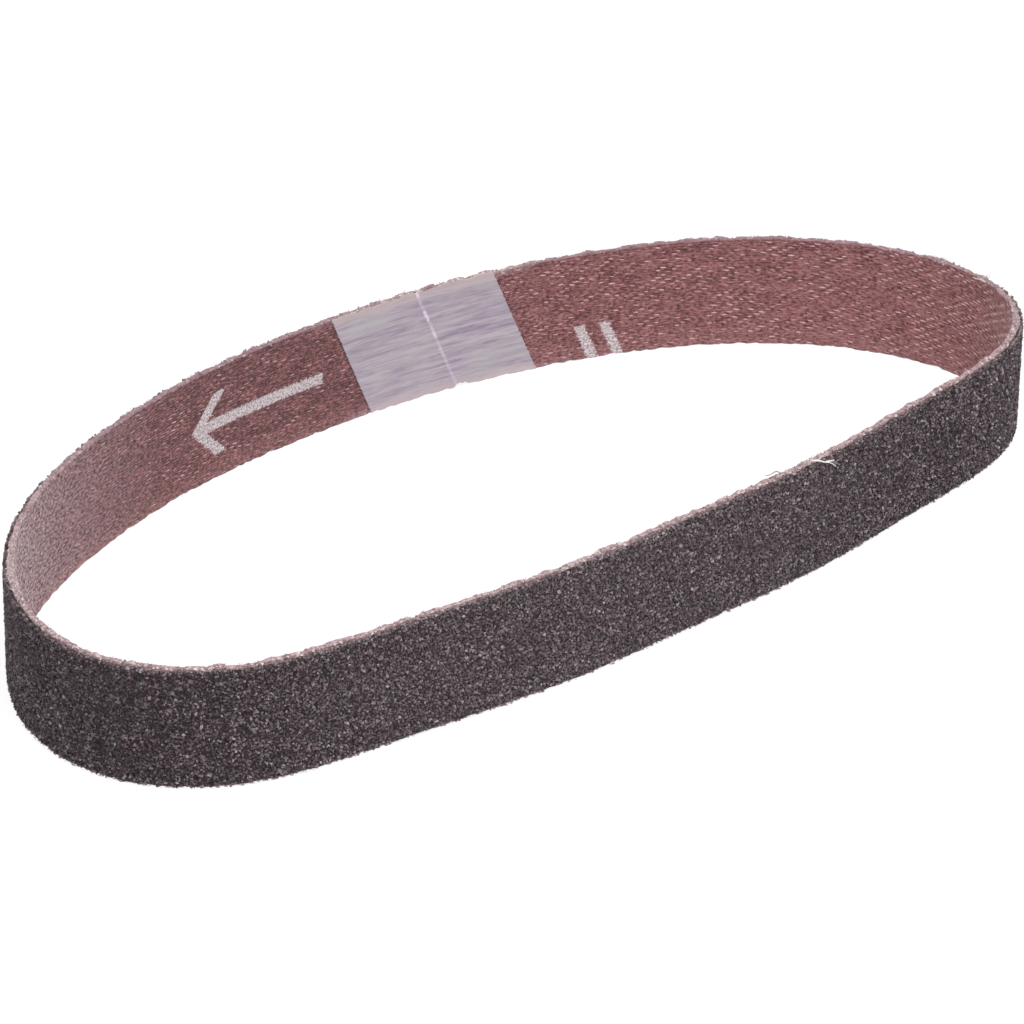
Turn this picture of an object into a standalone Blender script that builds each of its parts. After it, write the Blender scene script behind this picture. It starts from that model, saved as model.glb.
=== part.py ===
"""A narrow abrasive belt for a belt file, standing on its slit edge as it relaxes on a bench.

A coated strip is cut with slanted ends, closed into a loop and held by a tape over the butt joint.
Each piece is laid out flat first, in strip coordinates, and is then wrapped round the loop:
    along   distance along the strip from the joint, in metres
    across  distance up from the lower slit edge
    depth   distance from the back of the cloth towards the grain side
"""

import math

import bmesh
import bpy
from mathutils import Vector

MM = 0.001

# The strip as it is cut
BELT_LENGTH = 304.8 * MM
BELT_WIDTH = 12.7 * MM
CLOTH_THICKNESS = 0.55 * MM
COAT_THICKNESS = 0.45 * MM
BOND_LINE = 0.02 * MM  # the resin or glue between two layers
COAT_EDGE_MARGIN = 0.15 * MM  # grain that the slitting knife breaks away along each edge

# The butt joint and its tape
JOINT_SLANT_DEG = 23.4  # how far the cut leans from square across the strip
CLOTH_JOINT_GAP = 0.25 * MM
COAT_JOINT_GAP = 0.45 * MM
TAPE_WIDTH = 19.6 * MM  # measured square to the joint
TAPE_THICKNESS = 0.13 * MM
TAPE_OFF_JOINT = 0.75 * MM  # how far along the strip the tape's middle was laid past the joint
SKIVE_MARGIN = 4.5 * MM  # ground cloth that shows beside the tape
SKIVE_RAMP = 1.5 * MM
SKIVE_DEPTH = 0.08 * MM

# The loop that the belt relaxes into: how strongly each wave bends it, by waves in one turn.
# Two waves make it long, three make one side flatter, and the others shape its ends.
BEND_WAVES = {2: -0.528, 3: -0.098, 4: 0.109, 5: 0.083, 7: -0.039, 8: -0.031}
JOINT_FROM_FLAT_SIDE = 135.6 * MM  # along the belt, from the middle of the flat side at -Y
FACETS = 240
CLOSING_STEPS = 12
SNAP = 0.001 * MM  # a corner this near to a scored line counts as on it

# Colours, as red, green and blue in linear light
CLOTH_COLOUR = (0.22, 0.105, 0.105)
GRAIN_COLOUR = (0.075, 0.062, 0.066)
TAPE_COLOUR = (0.45, 0.41, 0.47)


def clear_scene():
    for obj in list(bpy.data.objects):
        bpy.data.objects.remove(obj)


def headings(closing_wave):
    """The direction of each facet of the loop, from the joint round to the joint."""
    found = []
    for facet in range(FACETS):
        turn = 2 * math.pi * ((facet + 0.5) / FACETS + JOINT_FROM_FLAT_SIDE / BELT_LENGTH)
        waves = sum(size * math.sin(n * turn) for n, size in BEND_WAVES.items())
        found.append(turn + waves + closing_wave[0] * math.sin(turn) + closing_wave[1] * math.cos(turn))
    return found


def closed_headings():
    """The headings with the one slow wave added that brings the last facet back to the first."""
    wave = [0.0, 0.0]
    for _ in range(CLOSING_STEPS):
        turns = headings(wave)
        miss = Vector((sum(math.cos(t) for t in turns), sum(math.sin(t) for t in turns)))
        slopes = []
        for shape in (math.sin, math.cos):
            shares = [
                shape(2 * math.pi * ((i + 0.5) / FACETS + JOINT_FROM_FLAT_SIDE / BELT_LENGTH))
                for i in range(FACETS)
            ]
            slopes.append(
                Vector(
                    (
                        sum(-math.sin(t) * share for t, share in zip(turns, shares)),
                        sum(math.cos(t) * share for t, share in zip(turns, shares)),
                    )
                )
            )
        size = slopes[0].x * slopes[1].y - slopes[1].x * slopes[0].y
        wave[0] -= (miss.x * slopes[1].y - slopes[1].x * miss.y) / size
        wave[1] -= (slopes[0].x * miss.y - miss.x * slopes[0].y) / size
    return headings(wave)


def loop_stations():
    """The corners of the loop's centreline and the outward direction at each, centred on the origin."""
    turns = closed_headings()
    step = BELT_LENGTH / FACETS
    corner = Vector((0.0, 0.0))
    corners = []
    for turn in turns:
        corners.append(corner.copy())
        corner += step * Vector((math.cos(turn), math.sin(turn)))
    xs = [c.x for c in corners]
    ys = [c.y for c in corners]
    middle = Vector(((min(xs) + max(xs)) / 2, (min(ys) + max(ys)) / 2))
    outwards = []
    for before, after in zip(turns[-1:] + turns[:-1], turns):
        mean = Vector((math.cos(before) + math.cos(after), math.sin(before) + math.sin(after)))
        outwards.append(Vector((mean.y, -mean.x)).normalized())
    return [c - middle for c in corners], outwards


def wrapped(flat, stations):
    """The place on the loop of a point of the flat strip. Between two stations the loop runs straight."""
    corners, outwards = stations
    place = flat.x / BELT_LENGTH * FACETS
    low = math.floor(place + 1e-6)
    share = min(max(place - low, 0.0), 1.0)
    here, there = low % FACETS, (low + 1) % FACETS
    if share < 1e-6:
        share = 0.0
    centre = corners[here].lerp(corners[there], share)
    outward = outwards[here].lerp(outwards[there], share)
    # The centreline runs where the cloth meets the grain
    offset = flat.z - CLOTH_THICKNESS
    return Vector((centre.x + outward.x * offset, centre.y + outward.y * offset, flat.y))


def joint_lean(across):
    """How far along the strip the slanted cut lies at this height, from its own middle."""
    return (across - BELT_WIDTH / 2) * math.tan(math.radians(JOINT_SLANT_DEG))


def along_of(square_distance):
    """A distance measured square to the slanted cut, as a distance along the strip."""
    return square_distance / math.cos(math.radians(JOINT_SLANT_DEG))


def from_joint(flat):
    """How far a point of the flat strip lies from the nearer cut end, square to the cut."""
    ahead = flat.x - joint_lean(flat.y)
    nearer = min(abs(ahead), abs(BELT_LENGTH - ahead))
    return nearer * math.cos(math.radians(JOINT_SLANT_DEG))


def flat_plate(start, end, low_edge, high_edge, back, front):
    """A flat plate with slanted ends, extruded from its outline."""
    plate = bmesh.new()
    outline = [
        Vector((start + joint_lean(low_edge), low_edge, back)),
        Vector((end + joint_lean(low_edge), low_edge, back)),
        Vector((end + joint_lean(high_edge), high_edge, back)),
        Vector((start + joint_lean(high_edge), high_edge, back)),
    ]
    face = plate.faces.new([plate.verts.new(point) for point in outline])
    raised = bmesh.ops.extrude_face_region(plate, geom=[face])
    lifted = [item for item in raised["geom"] if isinstance(item, bmesh.types.BMVert)]
    bmesh.ops.translate(plate, verts=lifted, vec=Vector((0, 0, front - back)))
    bmesh.ops.recalc_face_normals(plate, faces=plate.faces)
    return plate


def score(plate, point, normal):
    """Adds an edge all round the plate along one plane."""
    everything = plate.verts[:] + plate.edges[:] + plate.faces[:]
    bmesh.ops.bisect_plane(plate, geom=everything, dist=SNAP, plane_co=point, plane_no=normal)


def score_at_stations(plate):
    """Adds the edges that the plate bends along, one at each corner of the loop."""
    reach = [vert.co.x for vert in plate.verts]
    step = BELT_LENGTH / FACETS
    for station in range(math.ceil(min(reach) / step), math.floor(max(reach) / step) + 1):
        score(plate, Vector((station * step, 0, 0)), Vector((1, 0, 0)))


def score_beside_joint(plate, square_distance):
    """Adds an edge beside each cut end, parallel to the cut."""
    slant = math.radians(JOINT_SLANT_DEG)
    square = Vector((math.cos(slant), -math.sin(slant), 0))
    for end in (along_of(square_distance), BELT_LENGTH - along_of(square_distance)):
        score(plate, Vector((end, BELT_WIDTH / 2, 0)), square)


def wrap(plate, stations):
    for vert in plate.verts:
        vert.co = wrapped(vert.co, stations)


def paint(obj, colour, roughness):
    material = bpy.data.materials.new(obj.name)
    material.use_nodes = True
    surface = material.node_tree.nodes["Principled BSDF"]
    surface.inputs["Base Color"].default_value = (*colour, 1)
    surface.inputs["Roughness"].default_value = roughness
    surface.inputs["Metallic"].default_value = 0.0
    obj.data.materials.append(material)


def finished(name, plate, colour, roughness):
    bmesh.ops.triangulate(plate, faces=plate.faces)
    mesh = bpy.data.meshes.new(name)
    plate.to_mesh(mesh)
    plate.free()
    mesh.shade_smooth()
    mesh.set_sharp_from_angle(angle=math.radians(30))
    obj = bpy.data.objects.new(name, mesh)
    bpy.context.scene.collection.objects.link(obj)
    paint(obj, colour, roughness)
    return obj


def make_cloth_backing(stations):
    """The woven backing: it runs once round, and its back is ground thinner where the tape goes."""
    gap = along_of(CLOTH_JOINT_GAP)
    plate = flat_plate(gap / 2, BELT_LENGTH - gap / 2, 0.0, BELT_WIDTH, 0.0, CLOTH_THICKNESS)
    ground_to = TAPE_WIDTH / 2 + SKIVE_MARGIN
    score_beside_joint(plate, ground_to)
    score_beside_joint(plate, ground_to - SKIVE_RAMP)
    score_at_stations(plate)
    for vert in plate.verts:
        if vert.co.z < CLOTH_THICKNESS / 2:
            share = (ground_to - from_joint(vert.co)) / SKIVE_RAMP
            vert.co.z = SKIVE_DEPTH * min(max(share, 0.0), 1.0)
    wrap(plate, stations)
    return finished("cloth_backing", plate, CLOTH_COLOUR, 0.9)


def make_abrasive_coat(stations):
    """The grain and resin on the outside, broken back a little from the slit edges and the cut."""
    gap = along_of(COAT_JOINT_GAP)
    back = CLOTH_THICKNESS + BOND_LINE
    plate = flat_plate(
        gap / 2,
        BELT_LENGTH - gap / 2,
        COAT_EDGE_MARGIN,
        BELT_WIDTH - COAT_EDGE_MARGIN,
        back,
        back + COAT_THICKNESS,
    )
    score_at_stations(plate)
    wrap(plate, stations)
    return finished("abrasive_coat", plate, GRAIN_COLOUR, 0.8)


def make_splice_tape(stations):
    """The tape over the joint, glued into the ground part of the cloth and slit flush with it."""
    reach = along_of(TAPE_WIDTH) / 2
    front = SKIVE_DEPTH - BOND_LINE
    start, end = TAPE_OFF_JOINT - reach, TAPE_OFF_JOINT + reach
    plate = flat_plate(start, end, 0.0, BELT_WIDTH, front - TAPE_THICKNESS, front)
    score_at_stations(plate)
    wrap(plate, stations)
    return finished("splice_tape", plate, TAPE_COLOUR, 0.45)


def main():
    clear_scene()
    stations = loop_stations()
    make_cloth_backing(stations)
    make_abrasive_coat(stations)
    make_splice_tape(stations)


main()
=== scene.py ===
# %% [markdown]
# # A sanding belt standing on its edge
# This is a narrow belt of coated abrasive, as it runs on a hand-held belt file. It is three things glued
# together: a strip of maroon cotton twill, a layer of dark mineral grain on its outside, and a thin film of
# tape that holds the two slanted ends on the inside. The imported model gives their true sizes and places.
# This script gives them the surface that a close look shows: grain, weave, frayed edges and streaks.

# %% Load the frame
import math

import bmesh
import bpy
import numpy as np
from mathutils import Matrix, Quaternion, Vector


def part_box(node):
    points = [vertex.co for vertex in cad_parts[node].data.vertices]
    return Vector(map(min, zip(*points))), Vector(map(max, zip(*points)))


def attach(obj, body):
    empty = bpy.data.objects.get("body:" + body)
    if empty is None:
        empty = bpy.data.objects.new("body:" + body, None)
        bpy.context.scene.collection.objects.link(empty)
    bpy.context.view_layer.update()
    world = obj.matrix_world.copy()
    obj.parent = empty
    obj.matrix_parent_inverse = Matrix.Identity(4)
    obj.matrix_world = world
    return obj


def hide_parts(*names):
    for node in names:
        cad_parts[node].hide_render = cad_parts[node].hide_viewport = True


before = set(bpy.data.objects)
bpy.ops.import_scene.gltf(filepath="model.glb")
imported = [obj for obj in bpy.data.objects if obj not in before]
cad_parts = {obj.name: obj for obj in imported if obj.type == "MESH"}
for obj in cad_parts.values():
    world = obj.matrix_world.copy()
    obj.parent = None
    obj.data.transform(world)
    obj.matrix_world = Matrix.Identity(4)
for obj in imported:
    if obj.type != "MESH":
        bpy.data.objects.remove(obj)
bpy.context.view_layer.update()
MM = 0.001
BELT_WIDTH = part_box("cloth_backing")[1].z


def select_nothing():
    """An operator acts on all that is selected, so this comes before each new shape."""
    bpy.ops.object.select_all(action="DESELECT")


# %% [markdown]
# ## The camera
# The picture was taken with a long lens, from a little above and from the left of the belt's flatter side.
# The camera comes first, because it says which details will show. It is rolled by less than a degree, as
# on a tripod that was set by hand.

# %% Camera
CAMERA_DISTANCE = 552.4 * MM
CAMERA_LEFT_DEG = 43.37
CAMERA_ABOVE_DEG = 27.4
CAMERA_ROLL_DEG = 0.8
CAMERA_TARGET = Vector((3.65, 1.16, 0.0)) * MM
PHOTO_WIDTH_DEG = 11.005


def place_camera():
    left, above = math.radians(CAMERA_LEFT_DEG), math.radians(CAMERA_ABOVE_DEG)
    back = Vector(
        (-math.sin(left) * math.cos(above), -math.cos(left) * math.cos(above), math.sin(above))
    )
    bpy.ops.object.camera_add(location=CAMERA_TARGET + back * CAMERA_DISTANCE)
    camera = bpy.context.object
    camera.rotation_mode = "QUATERNION"
    roll = Quaternion((0, 0, 1), math.radians(CAMERA_ROLL_DEG))
    camera.rotation_quaternion = (-back).to_track_quat("-Z", "Y") @ roll
    camera.data.lens = camera.data.sensor_width / 2 / math.tan(math.radians(PHOTO_WIDTH_DEG) / 2)
    camera.data.clip_start, camera.data.clip_end = 0.01, 10
    bpy.context.scene.camera = camera
    return camera


select_nothing()
camera = place_camera()
print("lens in mm:", round(camera.data.lens, 1))

# %% [markdown]
# ## Small helpers for nodes
# Every material here is a tree of nodes. Short functions keep those trees readable: one adds a node, some
# do one sum each, and some turn a number into a colour or a place into a pattern. A socket knows the tree
# that it is in, so only the first nodes of a tree have to be told.


# %% Node helpers
def set_up(target, **settings):
    """Sets several values of a node, a modifier, a lamp or a curve."""
    for name, value in settings.items():
        setattr(target, name, value)


def is_socket(value):
    return isinstance(value, bpy.types.NodeSocket)


def feed(node, inputs):
    """Links each named socket to another node's output, or sets it to a plain value."""
    for name, value in inputs.items():
        socket = node.inputs[name]
        if is_socket(value):
            socket.id_data.links.new(value, socket)
        else:
            socket.default_value = value


def add_node(tree, kind, inputs=None, **settings):
    """Adds a node, with its settings and what goes into its sockets."""
    made = tree.nodes.new("ShaderNode" + kind)
    set_up(made, **settings)
    feed(made, inputs or {})
    return made


def calc(operation, *values):
    """One sum on numbers, at least one of which is a socket."""
    tree = next(value.id_data for value in values if is_socket(value))
    return add_node(tree, "Math", dict(enumerate(values)), operation=operation).outputs[0]


def times(first, second):
    return calc("MULTIPLY", first, second)


def plus(first, second):
    return calc("ADD", first, second)


def minus(first, second):
    return calc("SUBTRACT", first, second)


def ranged(value, low, high):
    """0 where value is under low, 1 where it is over high, and a slope between."""
    inputs = {"Value": value, "From Min": low, "From Max": high}
    return add_node(value.id_data, "MapRange", inputs).outputs["Result"]


def colours(factor, *stops):
    """A colour for each value of factor, from (place, colour) stops."""
    made = add_node(factor.id_data, "ValToRGB", {"Fac": factor})
    ramp = made.color_ramp
    while len(ramp.elements) < len(stops):
        ramp.elements.new(0.5)
    for element, (place, colour) in zip(ramp.elements, stops):
        element.position = place
        element.color = (*colour, 1)
    return made.outputs["Color"]


def blend(factor, first, second):
    """Colour first where factor is 0, and colour second where it is 1."""
    first, second = (value if is_socket(value) else (*value, 1) for value in (first, second))
    inputs = {0: factor, 6: first, 7: second}
    return add_node(factor.id_data, "Mix", inputs, data_type="RGBA").outputs[2]


def cloudy(vector, scale, detail=2.0, rough=0.5):
    """A cloudy pattern from 0 to 1, with so many blobs for each unit of the vector."""
    inputs = {"Vector": vector, "Scale": scale, "Detail": detail, "Roughness": rough}
    return add_node(vector.id_data, "TexNoise", inputs).outputs["Fac"]


def streaky(uv, along, across, detail=2.0, rough=0.5):
    """A cloudy pattern with so many blobs for each millimetre along and across the belt."""
    inputs = {"Vector": uv, "Scale": (along, across, 1)}
    place = add_node(uv.id_data, "Mapping", inputs).outputs["Vector"]
    return cloudy(place, 1.0, detail, rough)


def new_material(name, roughness):
    """A material with its tree and its main shader."""
    material = bpy.data.materials.new(name)
    material.use_nodes = True
    tree = material.node_tree
    surface = tree.nodes["Principled BSDF"]
    feed(surface, {"Roughness": roughness})
    return material, tree, surface


def strip_place(tree):
    """The piece's UV map, which holds millimetres along the belt and across it."""
    uv = add_node(tree, "UVMap", uv_map="strip_mm").outputs["UV"]
    parts = add_node(tree, "SeparateXYZ", {"Vector": uv})
    return uv, parts.outputs["X"], parts.outputs["Y"]


def stored(tree, name):
    """A number that is kept on the piece's points."""
    return add_node(tree, "Attribute", attribute_name=name).outputs["Fac"]


def bumped(surface, height, distance, strength=1.0):
    """Shades the surface as if it had this relief, with height in the pattern and distance in metres."""
    inputs = {"Height": height, "Distance": distance, "Strength": strength}
    bump = add_node(surface.id_data, "Bump", inputs)
    feed(surface, {"Normal": bump.outputs["Normal"]})


print("node helpers are ready")

# %% [markdown]
# ## Studio
# The belt stands on a plain white floor in soft light from all round, as in a light tent. Light Path makes
# the floor white for the camera alone, so the belt's own colours stay as they are written. A share of the
# floor's look is its lit surface, which keeps the soft shadow where the edge touches down.

# %% Floor and light
FLOOR_SIZE = 6.0
FLOOR_DROP = 0.02 * MM
FLOOR_GREY = (0.8, 0.8, 0.8)
FLOOR_LIT_SHARE = 0.22
FLOOR_GLOW = 0.86
TENT_BRIGHTNESS = 0.52
# Each lamp's place and size in metres, and its power in watts
LAMPS = {
    "lamp_above": ((0.0, -0.25, 0.9), 0.7, 8.0),
    "lamp_left": ((-0.75, -0.45, 0.5), 0.5, 3.1),
    "lamp_right": ((0.7, -0.6, 0.5), 0.5, 1.5),
}


def make_floor():
    select_nothing()
    bpy.ops.mesh.primitive_plane_add(size=FLOOR_SIZE, location=(0, 0, -FLOOR_DROP))
    floor = bpy.context.object
    floor.name = "floor"
    material, tree, surface = new_material("white_floor", 0.9)
    feed(surface, {"Base Color": (*FLOOR_GREY, 1), "Specular IOR Level": 0.1})
    rays = add_node(tree, "LightPath").outputs
    mirrored = calc("MAXIMUM", rays["Is Glossy Ray"], rays["Is Transmission Ray"])
    seen = calc("MAXIMUM", rays["Is Camera Ray"], mirrored)
    glow = add_node(tree, "Emission", {"Color": (1, 1, 1, 1), "Strength": FLOOR_GLOW})
    lit = add_node(tree, "MixShader", {0: 1 - FLOOR_LIT_SHARE, 1: surface.outputs["BSDF"]})
    both = add_node(tree, "AddShader", {0: lit.outputs[0], 1: glow.outputs[0]})
    inputs = {0: seen, 1: surface.outputs["BSDF"], 2: both.outputs[0]}
    choice = add_node(tree, "MixShader", inputs)
    feed(tree.nodes["Material Output"], {"Surface": choice.outputs[0]})
    floor.data.materials.append(material)


def soft_box(name, place, size, power):
    """A square lamp that faces the belt."""
    bpy.ops.object.light_add(type="AREA", location=place)
    lamp = bpy.context.object
    set_up(lamp.data, size=size, energy=power)
    facing = (-Vector(place)).to_track_quat("-Z", "Y")
    set_up(lamp, name=name, rotation_mode="QUATERNION", rotation_quaternion=facing)


def light_tent(brightness):
    world = bpy.data.worlds.new("tent")
    world.use_nodes = True
    tree = world.node_tree
    is_seen = add_node(tree, "LightPath").outputs["Is Camera Ray"]
    inputs = {0: is_seen, 2: brightness, 3: 1.0}
    strength = add_node(tree, "Mix", inputs, data_type="FLOAT")
    feed(tree.nodes["Background"], {"Color": (1, 1, 1, 1), "Strength": strength.outputs[0]})
    bpy.context.scene.world = world


make_floor()
light_tent(TENT_BRIGHTNESS)
for name, (place, size, power) in LAMPS.items():
    soft_box(name, place, size, power)
bpy.context.scene.view_settings.view_transform = "Standard"
print("floor, tent and", len(LAMPS), "soft boxes")

# %% [markdown]
# ## Unrolling the belt
# A belt is easiest to make as it was made: flat. So each piece is a straight strip, where x runs along the
# belt from the joint, z across it from the lower edge, and y is the depth from the outside of the cloth.
# Then a Curve modifier bends the strip round the loop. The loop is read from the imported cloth, so the new
# pieces lie exactly where the solids are.

# %% Read the loop
TOUCH = 1e-5


def read_loop():
    """The corners of the cloth's outside at the floor, counter-clockwise from the joint."""
    shell = bmesh.new()
    shell.from_mesh(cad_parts["cloth_backing"].data)
    bmesh.ops.remove_doubles(shell, verts=shell.verts, dist=1e-6)
    shell.normal_update()
    rim, cut, cut_area = set(), Vector((0, 0)), 0.0
    for face in shell.faces:
        centre, normal = face.calc_center_median().xy, face.normal
        if abs(normal.z) < 0.1 and normal.xy.dot(centre) > 0:
            rim.update(tuple(vert.co.xy) for vert in face.verts if vert.co.z < TOUCH)
        elif 0.2 < abs(normal.z) < 0.9:
            cut += centre * face.calc_area()
            cut_area += face.calc_area()
    shell.free()
    joint = np.array(cut / cut_area)
    corners = np.array(sorted(rim, key=lambda corner: math.atan2(corner[1], corner[0])))
    first = np.argmin(np.linalg.norm(corners - joint, axis=1))
    corners = np.roll(corners, -first, axis=0)
    kept = [corners[0]]
    for corner in corners[1:]:
        if np.linalg.norm(corner - kept[-1]) > 1.0 * MM:
            kept.append(corner)
    return np.array(kept)


def placed(name, data):
    """A new object at the origin, with this mesh or curve."""
    piece = bpy.data.objects.new(name, data)
    bpy.context.scene.collection.objects.link(piece)
    return piece


def add_spline(data, places):
    """A smooth line of a curve through these places."""
    spline = data.splines.new("BEZIER")
    spline.bezier_points.add(len(places) - 1)
    for point, place in zip(spline.bezier_points, places):
        set_up(point, co=place, handle_left_type="AUTO", handle_right_type="AUTO")
    return spline


def make_guide(corners):
    """A smooth closed curve through the corners, which the strips are bent along."""
    data = bpy.data.curves.new("loop_guide", "CURVE")
    set_up(data, dimensions="3D", twist_mode="Z_UP")
    # Blender starts a closed curve at its last point, so the joint's corner goes last
    spline = add_spline(data, [(*corner, 0) for corner in np.roll(corners, -1, axis=0)])
    set_up(spline, use_cyclic_u=True, resolution_u=6)
    guide = placed("loop_guide", data)
    guide.hide_render = True
    return guide, spline.calc_length()


loop_corners = read_loop()
guide, BELT_LENGTH = make_guide(loop_corners)
print("corners:", len(loop_corners), "belt length in mm:", round(BELT_LENGTH / MM, 2))


# %% Measure the strips
def unrolled(node):
    """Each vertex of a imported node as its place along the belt, its depth into it, and its height."""
    points = np.array([vert.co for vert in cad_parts[node].data.vertices])
    start, step = loop_corners, np.roll(loop_corners, -1, axis=0) - loop_corners
    length = np.linalg.norm(step, axis=1)
    reach = points[:, None, :2] - start
    share = np.clip((reach * step).sum(-1) / length**2, 0, 1)
    gap = reach - share[..., None] * step
    nearest = np.linalg.norm(gap, axis=-1).argmin(1)
    row = np.arange(len(points))
    distance = np.linalg.norm(gap[row, nearest], axis=1)
    inside = np.sign(step[nearest, 0] * gap[row, nearest, 1] - step[nearest, 1] * gap[row, nearest, 0])
    along = np.concatenate([[0], np.cumsum(length)])[nearest] + share[row, nearest] * length[nearest]
    along = np.where(along > length.sum() / 2, along - length.sum(), along)
    return along, distance * inside, points[:, 2]


_, cloth_depth, _ = unrolled("cloth_backing")
_, coat_depth, coat_height = unrolled("abrasive_coat")
tape_along, tape_depth, tape_height = unrolled("splice_tape")
CLOTH_THICKNESS = float(cloth_depth.max())
GRAIN_TOP = float(-coat_depth.min())
TAPE_OUTER, TAPE_INNER = float(tape_depth.min()), float(tape_depth.max())
low_end = tape_along[tape_height < TOUCH]
high_end = tape_along[tape_height > BELT_WIDTH - TOUCH]
JOINT_LEAN = float(high_end.min() - low_end.min()) / BELT_WIDTH
TAPE_START = float(low_end.min() + high_end.min()) / 2
TAPE_END = float(low_end.max() + high_end.max()) / 2
print("cloth", round(CLOTH_THICKNESS / MM, 2), "grain", round(GRAIN_TOP / MM, 2))
print("tape", [round(value / MM, 2) for value in (TAPE_START, TAPE_END, TAPE_OUTER, TAPE_INNER)])
print("the joint leans by", round(math.degrees(math.atan(JOINT_LEAN)), 1), "degrees")

# %% [markdown]
# ## Strips, relief and wrapping
# What is done to every piece comes first: cut a flat strip with slanted ends, roughen chosen points with a
# Displace modifier, write the strip's own millimetres into a UV map, and bend it round the loop. The UV map
# matters, because the pattern of a bent strip has to follow the cloth and not the room.

# %% Strip helpers
SMOOTH_UP_TO_DEG = 40


def only(piece):
    """Leaves one object selected and active, as a click on it does."""
    select_nothing()
    piece.select_set(True)
    bpy.context.view_layer.objects.active = piece


def coordinates(piece):
    """The piece's vertices as an array."""
    values = np.empty(len(piece.data.vertices) * 3, np.float32)
    piece.data.vertices.foreach_get("co", values)
    return values.reshape(-1, 3)


def move_to(piece, points):
    """Puts the piece's vertices at these points."""
    piece.data.vertices.foreach_set("co", points.astype(np.float32).ravel())
    piece.data.update()


def modify(piece, kind, **settings):
    """Adds a modifier with these settings, and makes its result the piece's own shape."""
    modifier = piece.modifiers.new(kind, kind)
    set_up(modifier, **settings)
    only(piece)
    bpy.ops.object.modifier_apply(modifier=modifier.name)


def past_joint(along, height):
    """How far along the belt a point lies from the slanted joint, from minus to plus half the belt."""
    ahead = along - JOINT_LEAN * (height - BELT_WIDTH / 2)
    return np.mod(ahead + BELT_LENGTH / 2, BELT_LENGTH) - BELT_LENGTH / 2


def flat_strip(name, ends, edges, outer, thickness, pitch):
    """A flat strip with slanted ends, standing on its edge: outer and thickness are depths into the belt."""
    (start, end), (low, high) = ends, edges
    spare = abs(JOINT_LEAN) * BELT_WIDTH
    length, height = end - start + 2 * spare, high - low
    middle = (start + end) / 2, outer, (low + high) / 2
    cells = {"x_subdivisions": round(length / pitch), "y_subdivisions": round(height / pitch)}
    select_nothing()
    bpy.ops.mesh.primitive_grid_add(size=1, location=middle, rotation=(math.pi / 2, 0, 0), **cells)
    strip = bpy.context.object
    strip.name = name
    strip.scale = (length, height, 1)
    bpy.ops.object.transform_apply()
    bpy.ops.object.mode_set(mode="EDIT")
    for place, is_start in ((start, True), (end, False)):
        bpy.ops.mesh.select_all(action="SELECT")
        bpy.ops.mesh.bisect(
            plane_co=(place, 0, BELT_WIDTH / 2),
            plane_no=(1, 0, -JOINT_LEAN),
            clear_inner=is_start,
            clear_outer=not is_start,
        )
    bpy.ops.object.mode_set(mode="OBJECT")
    modify(strip, "SOLIDIFY", thickness=thickness, offset=-1)
    return strip


def roughen(piece, weights, size, depth, direction, middle=0.5):
    """Moves points by a cloudy pattern. Weights are from 0 to 1, and depth is the pattern's whole range."""
    group = piece.vertex_groups.new(name="rough")
    for index in np.nonzero(weights > 0.01)[0]:
        group.add([int(index)], float(weights[index]), "REPLACE")
    pattern = bpy.data.textures.new("rough", "CLOUDS")
    set_up(pattern, noise_scale=size, noise_depth=3)
    settings = {"direction": direction, "strength": depth, "mid_level": middle}
    modify(piece, "DISPLACE", texture=pattern, texture_coords="LOCAL", vertex_group=group.name, **settings)
    piece.vertex_groups.clear()


def near(values, place, reach):
    """1 at a place, falling to 0 at reach from it."""
    return np.clip(1 - np.abs(values - place) / reach, 0, 1)


def store(mesh, name, values):
    """Keeps a number on each point of a mesh, for its material to read."""
    kept = mesh.attributes.new(name, "FLOAT", "POINT")
    kept.data.foreach_set("value", np.ascontiguousarray(values, np.float32))


def write_strip_map(piece):
    """Writes millimetres along and across the belt into the piece's UV map, and the depth beside it."""
    mesh = piece.data
    for layer in list(mesh.uv_layers):
        mesh.uv_layers.remove(layer)
    layer = mesh.uv_layers.new(name="strip_mm")
    corner_vertex = np.empty(len(mesh.loops), np.int32)
    mesh.loops.foreach_get("vertex_index", corner_vertex)
    points = coordinates(piece) / MM
    layer.data.foreach_set("uv", points[corner_vertex][:, [0, 2]].ravel())
    store(mesh, "depth_mm", points[:, 1])


def wrap(piece):
    """Bends a flat piece round the loop."""
    write_strip_map(piece)
    modify(piece, "CURVE", object=guide, deform_axis="POS_X")


def smooth(piece):
    """Shades the piece smooth, but not over its corners."""
    only(piece)
    bpy.ops.object.shade_smooth_by_angle(angle=math.radians(SMOOTH_UP_TO_DEG))


triangles_made = {}


def finish_piece(piece, material, slot, *nodes):
    """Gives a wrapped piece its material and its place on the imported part."""
    piece.data.materials.clear()
    piece.data.materials.append(material)
    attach(piece, "root")
    if nodes:
        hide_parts(*nodes)
    triangles_made[piece.name] = sum(len(face.vertices) - 2 for face in piece.data.polygons)
    print(piece.name, "has", triangles_made[piece.name], "triangles")


print("strip helpers are ready")

# %% [markdown]
# ## The cloth
# The backing is cotton twill, soaked in maroon resin, and slit from a wide roll with a knife. The knife
# leaves the edge a little wavy, and it bares the pale core of the yarns there. The joint's two ends meet
# at a slant, and where they meet the lower edge has a small notch, because a corner of one end broke away.
# A grid is enough for the slab itself: the yarns come next, as separate shapes.

# %% Cloth slab
CLOTH_PITCH = 0.36 * MM
JOINT_GAP = 0.25 * MM
EDGE_WAVE = 0.75 * MM
EDGE_REACH = 0.8 * MM
NOTCH_HEIGHT = 0.6 * MM
NOTCH_REACH = 0.9 * MM
GROUND_REACH = 15.6 * MM
GROUND_RAMP = 1.6 * MM
GROUND_DEPTH = 0.08 * MM


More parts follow.
